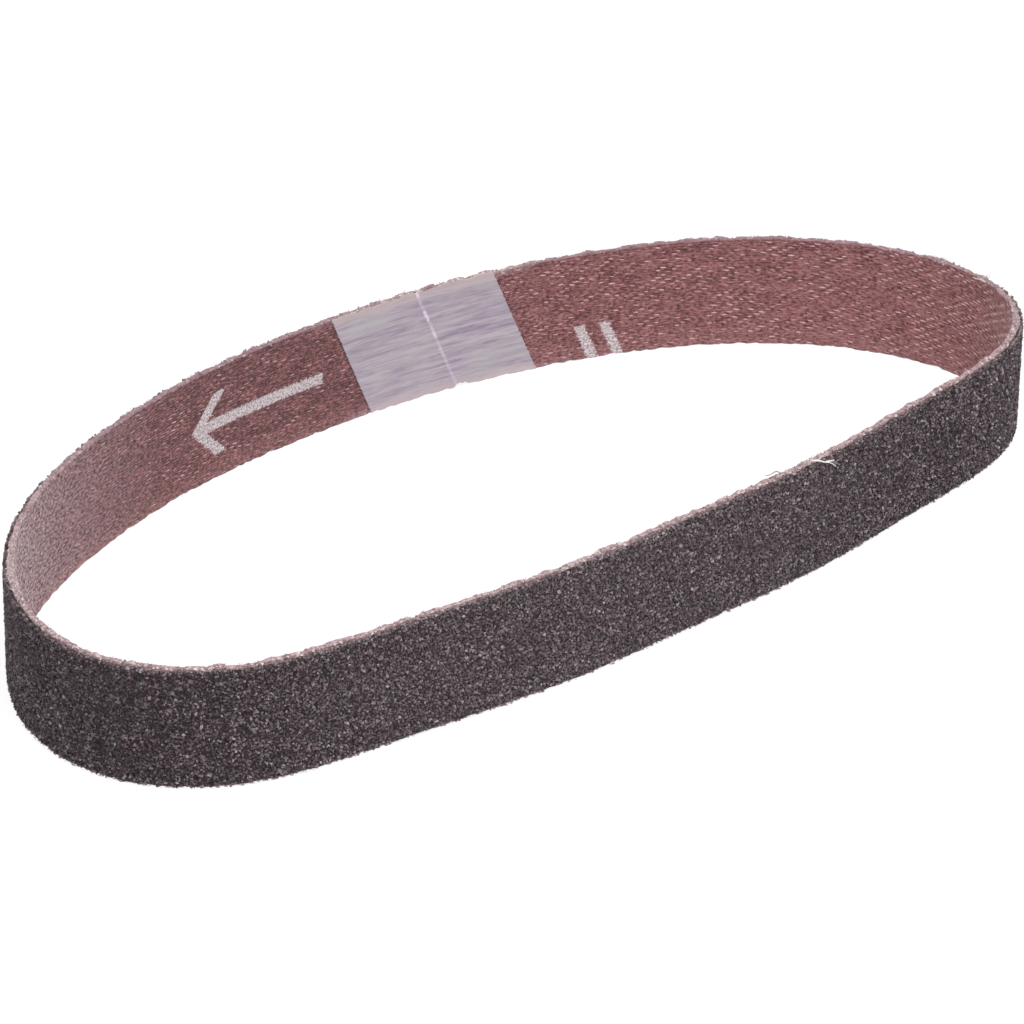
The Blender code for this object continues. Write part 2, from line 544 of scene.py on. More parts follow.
def wavy_edges(piece, sink=0.5):
    """Lets the slit edges wander, without going below the floor, and notches the lower one at the joint."""
    height = coordinates(piece)[:, 2]
    top, bottom = height.max(), height.min()
    roughen(piece, near(height, top, EDGE_REACH), 1.3 * MM, EDGE_WAVE, "Z", middle=sink)
    roughen(piece, near(height, bottom, EDGE_REACH), 1.1 * MM, EDGE_WAVE * 0.8, "Z", middle=0.4)
    points = coordinates(piece)
    notch = near(past_joint(points[:, 0], points[:, 2]), -0.6 * NOTCH_REACH, NOTCH_REACH) ** 0.5
    points[:, 2] += NOTCH_HEIGHT * notch * near(points[:, 2], bottom, EDGE_REACH)
    points[:, 2] = np.maximum(points[:, 2], bottom)
    move_to(piece, points)


def edge_line(piece, outermost):
    """The height of a slit edge at each place along the strip, for what is put on it later."""
    points = coordinates(piece)
    along = np.mod(points[:, 0], BELT_LENGTH)
    places = np.arange(CLOTH_PITCH, BELT_LENGTH - CLOTH_PITCH, CLOTH_PITCH)
    heights = [outermost(points[np.abs(along - place) < CLOTH_PITCH, 2]) for place in places]
    return places, np.array(heights)


def ground_off(ahead):
    """How much of the cloth's back was ground off, at this distance from the joint."""
    return GROUND_DEPTH * np.clip((GROUND_REACH - np.abs(ahead)) / GROUND_RAMP, 0, 1)


def make_cloth():
    ends = JOINT_GAP / 2, BELT_LENGTH - JOINT_GAP / 2
    cloth = flat_strip("cloth_slab", ends, (0, BELT_WIDTH), 0, CLOTH_THICKNESS, CLOTH_PITCH)
    wavy_edges(cloth)
    points = coordinates(cloth)
    inside = points[:, 1] > CLOTH_THICKNESS / 2
    points[:, 1] -= ground_off(past_joint(points[:, 0], points[:, 2])) * inside
    move_to(cloth, points)
    roughen(cloth, inside.astype(float), 0.8 * MM, 0.05 * MM, "Y")
    swollen = near(points[:, 2], BELT_WIDTH, EDGE_REACH) * inside
    roughen(cloth, swollen, 1.8 * MM, 0.45 * MM, "Y", middle=0.48)
    return cloth


cloth = make_cloth()
top_edge, low_edge = edge_line(cloth, np.max), edge_line(cloth, np.min)
wrap(cloth)
smooth(cloth)
print("upper edge from", round(top_edge[1].min() / MM, 2), "to", round(top_edge[1].max() / MM, 2), "mm")

# %% [markdown]
# ## The colour of the cloth
# Resin has filled the weave and left it a mottled maroon, with the yarns showing through as fine lines. The
# pale core shows along both slit edges. Beside the tape, the back was ground to take the glue, which has
# scuffed the colour. The silver print is a plain arrow for the running direction and two plain stripes. It
# is drawn with sums on the strip's millimetres: a band is where a distance is small, and a chevron is where
# two distances are nearly equal. A little noise on those millimetres makes its borders ragged.

# %% Cloth material
MAROON_DARK = (0.068, 0.025, 0.027)
MAROON = (0.172, 0.063, 0.066)
MAROON_LIGHT = (0.34, 0.15, 0.152)
# Painted sheen: greyer and lighter colours of the cloth round one end of the loop, seen at a grazing angle
PAINTED_SHEEN_DARK = (0.06, 0.028, 0.031)
PAINTED_SHEEN = (0.205, 0.112, 0.118)
PAINTED_SHEEN_LIGHT = (0.56, 0.4, 0.41)
RIM_DARK = (0.24, 0.15, 0.155)
RIM_PALE = (0.5, 0.4, 0.405)
RIM_BACK = (0.27, 0.165, 0.185)
SILVER_INK = (0.62, 0.575, 0.6)
LOWER_PINK = (0.36, 0.18, 0.176)
SHEEN_PINK = (1.0, 0.86, 0.89)
MIDDLE_MM = BELT_WIDTH / MM / 2
WARP_PITCH_MM = 0.3
PALER_ZONE_MM = (190, 225, 255, 288)
FRONT_ZONE_MM = (50, 75, 225, 250)
SHEEN_SIDE_ZONE_MM = (40, 76, 160, 200)
ARROW_START_MM, ARROW_END_MM = 15.5, 34.0
STRIPE_PLACES_MM = (282.2, 285.2)
INK_WIDTH_MM = 1.25
ARROW_HALF_WIDTH_MM = 3.6
SOFT_BORDER_MM = 0.08
GROUND_BORDER_MM = 2


def zone(along, starts, full, leaves, ends):
    """1 between two places along the belt, with a slope before and after."""
    return times(ranged(along, starts, full), ranged(along, ends, leaves))


def within(value, place, reach):
    """1 where value is nearer to place than reach, with a soft border."""
    distance = calc("ABSOLUTE", minus(value, place))
    return ranged(distance, reach + SOFT_BORDER_MM, reach - SOFT_BORDER_MM)


def from_middle(across):
    """How far a place lies from the middle line of the belt."""
    return calc("ABSOLUTE", minus(across, MIDDLE_MM))


def print_mask(uv, along, across):
    """Where the ink is: an arrow that points along the belt, and two leaning stripes."""
    ragged = minus(cloudy(uv, 3.0, detail=3, rough=0.7), 0.5)
    along, across = plus(along, ragged), minus(across, ragged)
    off_middle = from_middle(across)
    shaft_middle, shaft_reach = (ARROW_START_MM + ARROW_END_MM) / 2, (ARROW_END_MM - ARROW_START_MM) / 2
    shaft = times(within(off_middle, 0, INK_WIDTH_MM / 2), within(along, shaft_middle, shaft_reach))
    barbs = within(plus(along, off_middle), ARROW_END_MM, INK_WIDTH_MM * 0.7)
    ink = calc("MAXIMUM", shaft, times(barbs, within(off_middle, 0, ARROW_HALF_WIDTH_MM)))
    leaning = minus(along, times(across, JOINT_LEAN))
    for place in STRIPE_PLACES_MM:
        stripe = times(within(leaning, place, INK_WIDTH_MM / 2), within(across, 2.0, 2.2))
        ink = calc("MAXIMUM", ink, stripe)
    worn = ranged(cloudy(uv, 4.0, detail=3, rough=0.75), 0.42, 0.55)
    return times(ink, plus(0.3, times(worn, 0.68)))


def edge_share(across, reach):
    """1 at both slit edges, falling to 0 over reach in millimetres."""
    return ranged(minus(MIDDLE_MM - 0.02, from_middle(across)), reach, 0.0)


def past_seam(along, across):
    """How far along the belt a place lies from the slanted joint, in millimetres."""
    return minus(along, times(minus(across, MIDDLE_MM), JOINT_LEAN))


def ground_share(along, across):
    """1 on the part of the back that was ground for the tape."""
    half = BELT_LENGTH / MM / 2
    nearer = minus(half, calc("ABSOLUTE", minus(past_seam(along, across), half)))
    return ranged(nearer, GROUND_REACH / MM, GROUND_REACH / MM - GROUND_BORDER_MM)


def tone_shift_along(along):
    """Shifts the tone: a little lighter from 190 to 288 mm along the belt, and a little darker below 100 mm.
    """
    darker = times(ranged(along, 100.0, 60.0), 0.045)
    return minus(times(zone(along, *PALER_ZONE_MM), 0.035), darker)


def pale_rim(along):
    """1 on the flatter side, at both ends of the loop and at the tape, where the slit edges are palest."""
    at_tape = calc("MAXIMUM", ranged(along, 291.0, 296.0), ranged(along, 14.0, 9.0))
    return calc("MAXIMUM", zone(along, *FRONT_ZONE_MM), at_tape)


def sheen_side_share(along):
    """1 round one end of the loop, seen at a grazing angle, where a grey sheen is painted on the cloth."""
    return zone(along, *SHEEN_SIDE_ZONE_MM)


def cloth_material():
    material, tree, surface = new_material("maroon_twill", 0.8)
    uv, along, across = strip_place(tree)
    blotch = streaky(uv, 0.45, 0.8, detail=3)
    speck = streaky(uv, 2.0, 3.6, detail=3, rough=0.7)
    warp = calc("SINE", times(across, math.tau / WARP_PITCH_MM))
    tone = plus(times(blotch, 0.25), times(speck, 0.75))
    tone = plus(plus(tone, times(warp, 0.02)), tone_shift_along(along))
    maroon = colours(tone, (0.4, MAROON_DARK), (0.49, MAROON), (0.6, MAROON_LIGHT))
    coarse = streaky(uv, 1.7, 4.2, detail=4, rough=0.9)
    # Painted sheen: round one end of the loop the maroon is greyed and lightened, as a grazing view shows it
    greyed_by_sheen = colours(coarse, (0.43, PAINTED_SHEEN_DARK), (0.5, PAINTED_SHEEN), (0.57, PAINTED_SHEEN_LIGHT))
    maroon = blend(times(sheen_side_share(along), 0.9), maroon, greyed_by_sheen)
    # Lighter pink towards the lower edge of the cloth
    lower_pink_band = times(ranged(across, 2.5, 0.3), ranged(speck, 0.33, 0.58))
    maroon = blend(times(lower_pink_band, 0.5), maroon, LOWER_PINK)
    inked = blend(print_mask(uv, along, across), maroon, SILVER_INK)
    fibrous = cloudy(uv, 2.6, detail=3, rough=0.7)
    outer = ranged(stored(tree, "depth_mm"), 0.4, 0.0)
    reach = plus(0.12, times(ground_share(along, across), 0.7))
    reach = plus(reach, times(outer, 0.5))
    bare = times(edge_share(across, reach), ranged(fibrous, 0.25, 0.55))
    rim = colours(cloudy(uv, 2.4, detail=3), (0.4, RIM_DARK), (0.6, RIM_PALE))
    rim = blend(pale_rim(along), RIM_BACK, rim)
    feed(surface, {"Base Color": blend(bare, inked, rim), "Specular IOR Level": 0.25})
    lustre = times(ranged(coarse, 0.43, 0.58), plus(0.5, times(sheen_side_share(along), 0.7)))
    feed(surface, {"Sheen Weight": lustre, "Sheen Roughness": 0.5, "Sheen Tint": (*SHEEN_PINK, 1)})
    bumped(surface, plus(times(warp, 0.15), speck), 0.14 * MM)
    return material


twill_maroon = cloth_material()
finish_piece(cloth, twill_maroon, "cloth", "cloth_backing")

# %% [markdown]
# ## The yarns of the twill
# In a twill, each warp yarn passes over some wefts and under the next, and its neighbour does the same a
# step further on. Only the raised part shows: a short dash, worn pale on its crown. Rows of such dashes
# climb the cloth at a slant. One low egg shape is copied by the thousand, because few faces are enough when
# each copy is under a millimetre long.

# %% Copying one small shape many times
random = np.random.default_rng(12)
FLOOR_CLEARANCE = 0.004 * MM


def shape_of(piece):
    """The points and triangles of a small modelled shape, which is then thrown away."""
    only(piece)
    bpy.ops.object.mode_set(mode="EDIT")
    bpy.ops.mesh.select_all(action="SELECT")
    bpy.ops.mesh.quads_convert_to_tris()
    bpy.ops.object.mode_set(mode="OBJECT")
    points = coordinates(piece).copy()
    triangles = np.array([list(face.vertices) for face in piece.data.polygons])
    bpy.data.objects.remove(piece)
    return points, triangles


def copies(name, shapes, places, sizes, turns, tones):
    """One mesh of many copies. Each copy has a place, a size for each axis, a turn and a tone."""
    all_points, all_triangles, all_tones, used = [], [], [], 0
    for number, (points, triangles) in enumerate(shapes):
        chosen = slice(number, None, len(shapes))
        scaled = points[None] * sizes[chosen][:, None]
        moved = np.einsum("nij,npj->npi", turns[chosen], scaled) + places[chosen][:, None]
        count = len(moved)
        offset = used + np.arange(count)[:, None, None] * len(points)
        all_points.append(moved.reshape(-1, 3))
        all_triangles.append((triangles[None] + offset).reshape(-1, 3))
        all_tones.append(np.repeat(tones[chosen], len(points)))
        used += count * len(points)
    mesh = bpy.data.meshes.new(name)
    mesh.from_pydata(np.concatenate(all_points), [], np.concatenate(all_triangles))
    store(mesh, "tone", np.concatenate(all_tones))
    return placed(name, mesh)


def turned(angles):
    """Turns about the axis that points into the belt, as matrices."""
    cosine, sine, zero = np.cos(angles), np.sin(angles), np.zeros_like(angles)
    one = zero + 1
    return np.stack([cosine, zero, -sine, zero, one, zero, sine, zero, cosine], -1).reshape(-1, 3, 3)


def pointing(directions):
    """Turns that bring the x axis into these directions, each with a random roll."""
    forward = directions / np.linalg.norm(directions, axis=1, keepdims=True)
    side = np.cross(forward, random.normal(size=forward.shape))
    side /= np.linalg.norm(side, axis=1, keepdims=True)
    return np.stack([forward, side, np.cross(forward, side)], -1)


def laid(name, shapes, places, sizes, turns, tones):
    """Copies that are kept above the floor and bent round the loop."""
    piece = copies(name, shapes, places, sizes, turns, tones)
    points = coordinates(piece)
    points[:, 2] = np.maximum(points[:, 2], FLOOR_CLEARANCE)
    move_to(piece, points)
    wrap(piece)
    return piece


print("copying is ready")

# %% Yarn dashes
DASH_LENGTH = 0.8 * MM
DASH_HEIGHT = 0.165 * MM
DASH_RISE = 0.07 * MM
TWILL_REPEAT = 1.8 * MM
SHEEN_SIDE_MIDDLE, SHEEN_SIDE_REACH = 90 * MM, 60 * MM


def dash_places():
    """The middle of each raised stretch of yarn, row by row, with a little disorder."""
    rows = np.arange(1, int(BELT_WIDTH / (WARP_PITCH_MM * MM)))
    columns = np.arange(int(BELT_LENGTH / TWILL_REPEAT))
    row, column = np.meshgrid(rows, columns, indexing="ij")
    along = (column - row / 3) * TWILL_REPEAT
    along = np.mod(along, BELT_LENGTH) + random.normal(0, 0.06 * MM, along.shape)
    height = row * WARP_PITCH_MM * MM + random.normal(0, 0.02 * MM, row.shape)
    rib = random.random((len(rows) // 6 + 1, len(columns)))[row // 6, column]
    return along.ravel(), height.ravel(), rib.ravel()


def make_dashes():
    select_nothing()
    bpy.ops.mesh.primitive_ico_sphere_add(subdivisions=1, radius=0.5)
    egg = shape_of(bpy.context.object)
    along, height, rib = dash_places()
    ahead = past_joint(along, height)
    bare = (ahead < TAPE_START - 0.5 * MM) | (ahead > TAPE_END + 0.5 * MM)
    # Round the end of the loop with the painted sheen, fewer dashes are kept and they are more jumbled
    sheen_side = near(along, SHEEN_SIDE_MIDDLE, SHEEN_SIDE_REACH)
    share = np.where(np.abs(ahead) < GROUND_REACH, 0.75, 0.97 - 0.45 * sheen_side)
    keep = bare & (random.random(len(along)) < share)
    height = height + random.normal(0, 0.06 * MM, len(along)) * sheen_side
    along, height, ahead, rib = along[keep], height[keep], ahead[keep], rib[keep]
    count = len(along)
    places = np.stack([along, CLOTH_THICKNESS + 0.005 * MM - ground_off(ahead), height], -1)
    sizes = np.array([DASH_LENGTH, 2 * DASH_RISE, DASH_HEIGHT]) * random.uniform(0.7, 1.15, (count, 3))
    turns = turned(random.normal(0.06, 0.07, count))
    tones = 0.8 * random.beta(1.3, 1.3, count) + 0.2 * rib
    dashes = copies("twill_yarns", [egg], places, sizes, turns, tones)
    wrap(dashes)
    only(dashes)
    bpy.ops.object.shade_smooth()
    return dashes


def yarn_material():
    material, tree, surface = new_material("worn_yarn", 0.75)
    uv, along, across = strip_place(tree)
    tone = plus(times(stored(tree, "tone"), 0.75), times(streaky(uv, 0.3, 0.5), 0.5))
    tone = plus(tone, times(tone_shift_along(along), 3.0))
    pale = colours(
        tone,
        (0.25, (0.12, 0.044, 0.046)),
        (0.5, (0.225, 0.09, 0.092)),
        (0.72, (0.39, 0.202, 0.202)),
        (0.94, (0.57, 0.37, 0.37)),
    )
    # Painted sheen: the yarns are greyed round the same end of the loop
    pale = blend(times(sheen_side_share(along), 0.6), pale, PAINTED_SHEEN)
    inked = blend(print_mask(uv, along, across), pale, SILVER_INK)
    feed(surface, {"Base Color": inked, "Specular IOR Level": 0.3})
    feed(surface, {"Sheen Weight": times(ranged(tone, 0.3, 0.9), 0.8), "Sheen Tint": (*SHEEN_PINK, 1)})
    bumped(surface, streaky(uv, 2, 12), 0.02 * MM)
    return material


dashes = make_dashes()
finish_piece(dashes, yarn_material(), "cloth")

# %% [markdown]
# ## The grain
# The outside is crushed mineral, glued on so thickly that grain touches grain, with the lower half of each
# sunk in dark resin. A bump map would look soft at the belt's outline, so the grains are real blocks: a
# squat pyramid with its corners pushed about, in six forms, turned every way and laid in a jittered
# pattern. There are tens of thousands, so each has only six triangles. They are shaded flat, because it is
# the facets that glint, and the few brightest grains have painted glints.

# %% Resin bed
RESIN_TOP = 0.36 * MM
RESIN_PITCH = 0.6 * MM
BOND_LINE = 0.02 * MM
COAT_LOW, COAT_HIGH = float(coat_height.min()), float(coat_height.max())
COAT_JOINT_GAP = 0.45 * MM
EDGE_DUST = (0.33, 0.26, 0.268)


def make_resin():
    ends = COAT_JOINT_GAP / 2, BELT_LENGTH - COAT_JOINT_GAP / 2
    edges = COAT_LOW, COAT_HIGH
    resin = flat_strip("resin_bed", ends, edges, -RESIN_TOP, RESIN_TOP - BOND_LINE, RESIN_PITCH)
    wavy_edges(resin, sink=0.75)
    points = coordinates(resin)
    outside = (points[:, 1] < -RESIN_TOP / 2).astype(float)
    roughen(resin, outside, 0.5 * MM, 0.1 * MM, "Y")
    wrap(resin)
    return resin


def dusty(uv, across, colour, reach):
    """Mixes in the pale dust and lint that sit along the slit edges of the grain."""
    flecks = ranged(cloudy(uv, 2.4, detail=3, rough=0.7), 0.46, 0.58)
    share = times(edge_share(across, reach), flecks)
    return blend(times(share, 0.8), colour, EDGE_DUST)


def resin_material():
    material, tree, surface = new_material("dark_resin", 0.6)
    uv, _along, across = strip_place(tree)
    speck = cloudy(uv, 4.0, detail=3)
    dark = colours(speck, (0.3, (0.012, 0.008, 0.009)), (0.7, (0.05, 0.035, 0.038)))
    feed(surface, {"Base Color": dusty(uv, across, dark, 0.5), "Specular IOR Level": 0.2})
    bumped(surface, speck, 0.08 * MM)
    return material


resin = make_resin()
finish_piece(resin, resin_material(), "grain", "abrasive_coat")

# %% Grains
GRAIN_SPACING = 0.245 * MM
GRAIN_SIZE = 0.26 * MM
GRAIN_FORMS = 6
GRAIN_PIECES = 3
BROKEN_BACK, BROKEN_REACH, BROKEN_RAMP = 0.2 * MM, 88 * MM, 12 * MM
PATCH_DARK = (0.04, 0.028, 0.032)
# Colour of the painted shade on the grain round one end of the loop
PAINTED_SHADE_DARK = (0.03, 0.021, 0.024)
DUST_GREY = (0.225, 0.18, 0.19)
PAINTED_SHADE_ZONE_MM = (60, 85, 100, 118)
DUSTED_ZONE_MM = (112, 132, 185, 205)


def crushed_block(seed):
    """A squat pyramid with its corners pushed about, as a broken grain has them."""
    select_nothing()
    bpy.ops.mesh.primitive_cone_add(vertices=4, radius1=0.7, radius2=0, depth=0.95)
    block = bpy.context.object
    bpy.ops.object.mode_set(mode="EDIT")
    bpy.ops.transform.vertex_random(offset=0.16, uniform=1.0, normal=0.0, seed=seed)
    bpy.ops.object.mode_set(mode="OBJECT")
    return shape_of(block)


def random_turns(count):
    """Turns in every direction, as matrices, from random unit quaternions."""
    quaternions = random.normal(size=(4, count)).T
    return np.array([Quaternion(values).normalized().to_matrix() for values in quaternions])


def wandering(along, low, high, step):
    """A value for each place along the belt that wanders between low and high."""
    knots = np.arange(0, BELT_LENGTH + step, step)
    return np.interp(along, knots, random.uniform(low, high, len(knots)))


def grain_places():
    """A jittered pattern of rows, kept clear of the joint's gap and broken back along the slit edges."""
    row_step = GRAIN_SPACING * math.sqrt(3) / 2
    rows = np.arange(int((COAT_HIGH - COAT_LOW) / row_step) + 1)
    columns = np.arange(int(BELT_LENGTH / GRAIN_SPACING))
    row, column = np.meshgrid(rows, columns, indexing="ij")
    along = (column + 0.5 * (row % 2)) * GRAIN_SPACING
    height = COAT_LOW + row * row_step
    along = (along + random.normal(0, 0.28 * GRAIN_SPACING, along.shape)).ravel()
    height = (height + random.normal(0, 0.28 * GRAIN_SPACING, height.shape)).ravel()
    off_joint = np.abs(past_joint(along, height))
    top = np.interp(along, *top_edge) - wandering(along, 0.03 * MM, 0.28 * MM, 0.5 * MM)
    top = top - BROKEN_BACK * np.clip((BROKEN_REACH - off_joint) / BROKEN_RAMP, 0, 1)
    bottom = COAT_LOW + wandering(along, 0, 0.2 * MM, 0.6 * MM)
    keep = (off_joint > COAT_JOINT_GAP / 2 + 0.3 * GRAIN_SIZE) & (height > bottom) & (height < top)
    return along[keep], height[keep]


def make_grains():
    blocks = [crushed_block(seed) for seed in range(1, GRAIN_FORMS + 1)]
    along, height = grain_places()
    count = len(along)
    size = GRAIN_SIZE * random.lognormal(0, 0.18, count)
    sizes = size[:, None] * random.uniform(0.8, 1.15, (count, 3))
    depth = -(GRAIN_TOP - 0.42 * size) - random.normal(0, 0.02 * MM, count)
    places = np.stack([along, depth, height], -1)
    turns = random_turns(count)
    tones = random.random(count)
    pieces = []
    for number in range(GRAIN_PIECES):
        part = (along / BELT_LENGTH * GRAIN_PIECES).astype(int).clip(0, GRAIN_PIECES - 1) == number
        chosen = places[part], sizes[part], turns[part], tones[part]
        pieces.append(laid(f"grains_{number + 1}", blocks, *chosen))
    print("grains:", count)
    return pieces


def grain_material():
    material, tree, surface = new_material("crushed_grain", 0.5)
    uv, along, across = strip_place(tree)
    tone = stored(tree, "tone")
    # The lower stops are the grains' own tones; the top stop paints glints, making a few grains far brighter
    grey = colours(
        tone,
        (0.0, (0.013, 0.009, 0.01)),
        (0.26, (0.05, 0.036, 0.04)),
        (0.6, (0.124, 0.092, 0.099)),
        (0.9, (0.215, 0.167, 0.176)),
        (1.0, (0.4, 0.345, 0.345)),
    )
    patchy = ranged(streaky(uv, 0.1, 0.16), 0.3, 0.7)
    grey = blend(times(patchy, 0.3), grey, PATCH_DARK)
    # Painted shade: the grain is darkened round one end of the loop, from 60 to 118 mm along the belt
    grey = blend(times(zone(along, *PAINTED_SHADE_ZONE_MM), 0.35), grey, PAINTED_SHADE_DARK)
    grey = blend(times(zone(along, *DUSTED_ZONE_MM), 0.17), grey, DUST_GREY)
    mineral = calc("FRACT", times(tone, 31.0))
    inputs = {"Hue": plus(0.43, times(mineral, 0.12)), "Saturation": minus(1.5, mineral), "Color": grey}
    varied = add_node(tree, "HueSaturation", inputs).outputs["Color"]
    feed(surface, {"Base Color": dusty(uv, across, varied, 0.4), "Specular IOR Level": 0.25})
    bumped(surface, cloudy(uv, 9.0), 0.03 * MM)
    return material


grain_finish = grain_material()
for grains in make_grains():
    finish_piece(grains, grain_finish, "grain")

# %% [markdown]
# ## The tape
# The joint is held by a thin film with fine lengthwise filaments, pressed into the ground part of the
# cloth. It is lavender-grey, with darker violet streaks along the belt, and it has a slight sheen. Over the
# joint it is pulled up into a narrow ridge, with a painted highlight along it. The ridge is geometry, the
# highlight is a bright colour in spots along the seam, and the streaks are one cloudy pattern that is drawn
# out along the belt.

# %% Tape
TAPE_PITCH = 0.28 * MM
RIDGE_RISE = 0.05 * MM
RIDGE_REACH = 0.3 * MM
FILM_GREY = (0.375, 0.37, 0.36)
FILM_EDGE = (0.46, 0.37, 0.375)
# Colour of the painted highlight on the ridge
RIDGE_HIGHLIGHT = (0.72, 0.6, 0.74)


def make_tape():
    ends, thickness = (TAPE_START, TAPE_END), TAPE_INNER - TAPE_OUTER
    tape = flat_strip("tape_film", ends, (0, BELT_WIDTH), TAPE_OUTER, thickness, TAPE_PITCH)
    wavy_edges(tape)
    points = coordinates(tape)
    inside = points[:, 1] > (TAPE_OUTER + TAPE_INNER) / 2
    ahead = past_joint(points[:, 0], points[:, 2])
    points[:, 1] += RIDGE_RISE * near(ahead, 0, RIDGE_REACH) * inside
    move_to(tape, points)
    roughen(tape, inside.astype(float), 1.2 * MM, 0.02 * MM, "Y")
    wrap(tape)
    smooth(tape)
    return tape


def tape_material():
    material, tree, surface = new_material("splice_film", 0.42)
    uv, along, across = strip_place(tree)
    broad = streaky(uv, 0.065, 1.3, detail=4, rough=0.68)
    fine = streaky(uv, 0.3, 3.6, detail=3, rough=0.7)
    strength = plus(0.35, times(ranged(streaky(uv, 0.11, 0.5), 0.35, 0.65), 0.7))
    streak = plus(plus(0.28, times(minus(broad, 0.5), strength)), times(fine, 0.46))
    film = colours(
        streak,
        (0.39, (0.232, 0.182, 0.252)),
        (0.47, (0.31, 0.258, 0.318)),
        (0.59, (0.395, 0.352, 0.39)),
    )
    film = blend(times(ranged(streaky(uv, 0.14, 0.22), 0.48, 0.72), 0.6), film, FILM_GREY)
    film = blend(times(edge_share(across, 1.4), 0.85), film, FILM_EDGE)
    # Painted highlight: a bright colour along the ridge over the joint, in spots, and more towards the upper
    # edge
    seam = ranged(calc("ABSOLUTE", past_seam(along, across)), 0.3, 0.05)
    spots = times(ranged(cloudy(uv, 0.9), 0.45, 0.6), ranged(across, 3.0, 8.0))
    lit = plus(0.22, times(spots, 0.78))
    feed(surface, {"Base Color": blend(times(seam, lit), film, RIDGE_HIGHLIGHT)})
    bumped(surface, fine, 0.03 * MM, 0.6)
    return material


tape = make_tape()
finish_piece(tape, tape_material(), "tape", "splice_tape")

# %% [markdown]
# ## Frayed edges
# The knife cuts through every weft, so torn cotton sits along both slit edges: small knots of lint, which
# make the outline knobbly, and short fibres between them. Each fibre is a thin bowed spindle, and they are
# copied as the grains are. They come in clumps, and they are thicker and whiter where the knife tore. Along
# the lower edge they lie flatter, because the belt stands on them.

# %% Fuzz
UPPER_FIBRES = 6500
LOWER_FIBRES = 4000
FIBRE_WIDTH = 0.055 * MM
UPPER_KNOTS = 4200
LOWER_KNOTS = 2600
KNOT_SIZE = 0.17 * MM
KNOT_SHAPE = (1.7, 1.0, 0.8)
TUFTS_MM = ((218.0, 6.0, 0.6), (59.0, 5.0, 0.5), (69.8, 0.8, 1.0), (76.0, 1.6, 0.7), (17.0, 3.5, 0.6))
FRONT_MIDDLE_MM = 169.2


def belt_place(from_front_middle):
    """Turns a distance from the middle of the flatter side into a place along the strip, in metres."""
    return np.mod(from_front_middle + FRONT_MIDDLE_MM, BELT_LENGTH / MM) * MM


def bowed_fibre():
    """A thin three-sided spindle along x, bowed to one side, with a point at both ends."""
    select_nothing()
    bpy.ops.mesh.primitive_uv_sphere_add(
        segments=3, ring_count=3, radius=0.5, location=(0.5, 0, 0), rotation=(0, math.pi / 2, 0)
    )
    bpy.ops.object.transform_apply()
    fibre = bpy.context.object
    for vert in fibre.data.vertices:
        vert.co.z += 3.5 * vert.co.x**2
    return shape_of(fibre)


def clumped_places(count):
    """Places along the belt, half of them in clumps, with more of them at the tufts."""
    centres = random.uniform(0, BELT_LENGTH, count // 22)
    places = random.choice(centres, count) + random.normal(0, 0.35 * MM, count)
    places[::2] = random.uniform(0, BELT_LENGTH, len(places[::2]))
    extra = []
    for middle, reach, strength in TUFTS_MM:
        number = int(120 * reach * strength)
        extra.append(belt_place(middle) + random.normal(0, reach / 2, number) * MM)
    return np.mod(np.concatenate([places, *extra]), BELT_LENGTH)


def tuft_share(along):
    """How near each place is to a tuft, from 0 to 1."""
    share = np.zeros_like(along)
    for middle, reach, strength in TUFTS_MM:
        share = np.maximum(share, strength * near(along, belt_place(middle), reach * MM))
    return share


def make_lint():
    """Knots of lint on both slit edges, mostly on the cloth and some over the grain."""
    knots = [crushed_block(seed) for seed in (21, 22, 23)]
    along = np.concatenate([clumped_places(UPPER_KNOTS), random.uniform(0, BELT_LENGTH, LOWER_KNOTS)])
    count = len(along)
    is_low = np.arange(count) >= count - LOWER_KNOTS
    upper_depth = random.uniform(-0.04, CLOTH_THICKNESS / MM - 0.05, count) * MM
    lower_depth = random.uniform(-GRAIN_TOP / MM + 0.08, 0.4, count) * MM
    depth = np.where(is_low, lower_depth, upper_depth)
    upper = np.interp(along, *top_edge) - random.uniform(0.0, 0.14, count) * MM
    lower = np.interp(along, *low_edge) + random.uniform(0.06, 0.24, count) * MM
    size = KNOT_SIZE * np.clip(random.lognormal(0, 0.35, count), 0.5, 1.6)
    places = np.stack([along, depth, np.where(is_low, lower, upper)], -1)
    sizes = size[:, None] * random.uniform(0.8, 1.2, (count, 3)) * KNOT_SHAPE
    turns = turned(random.normal(0, 0.5, count))
    tones = random.beta(1.0, 1.5, count) + 0.2 * tuft_share(along) + 0.25 * is_low
    return laid("edge_lint", knots, places, sizes, turns, np.clip(tones, 0, 0.8))


def make_upper_fuzz(fibre):
    """The fuzz of the upper edge, longer and thicker at the tufts."""
    along = clumped_places(UPPER_FIBRES)
    count, torn = len(along), tuft_share(along)
    depth = random.uniform(-0.08, CLOTH_THICKNESS / MM - 0.05, count) * MM
    height = np.interp(along, *top_edge) - random.uniform(0.0, 0.16, count) * MM
    length = random.gamma(3.0, 0.05, count) * (1 + 0.9 * torn) * MM
    forward, sideways = random.normal(0, 0.9, count), random.normal(0, 0.5, count)
    directions = np.stack([forward, sideways, random.uniform(-0.15, 0.7, count)], -1)
    width = FIBRE_WIDTH * random.uniform(0.6, 1.3, count) * (1 + torn)
    tones = np.clip(random.beta(1.6, 2.0, count) + 0.35 * torn, 0, 1)
    places, sizes = np.stack([along, depth, height], -1), np.stack([length, width, width], -1)
    return laid("upper_fuzz", [fibre], places, sizes, pointing(directions), tones)


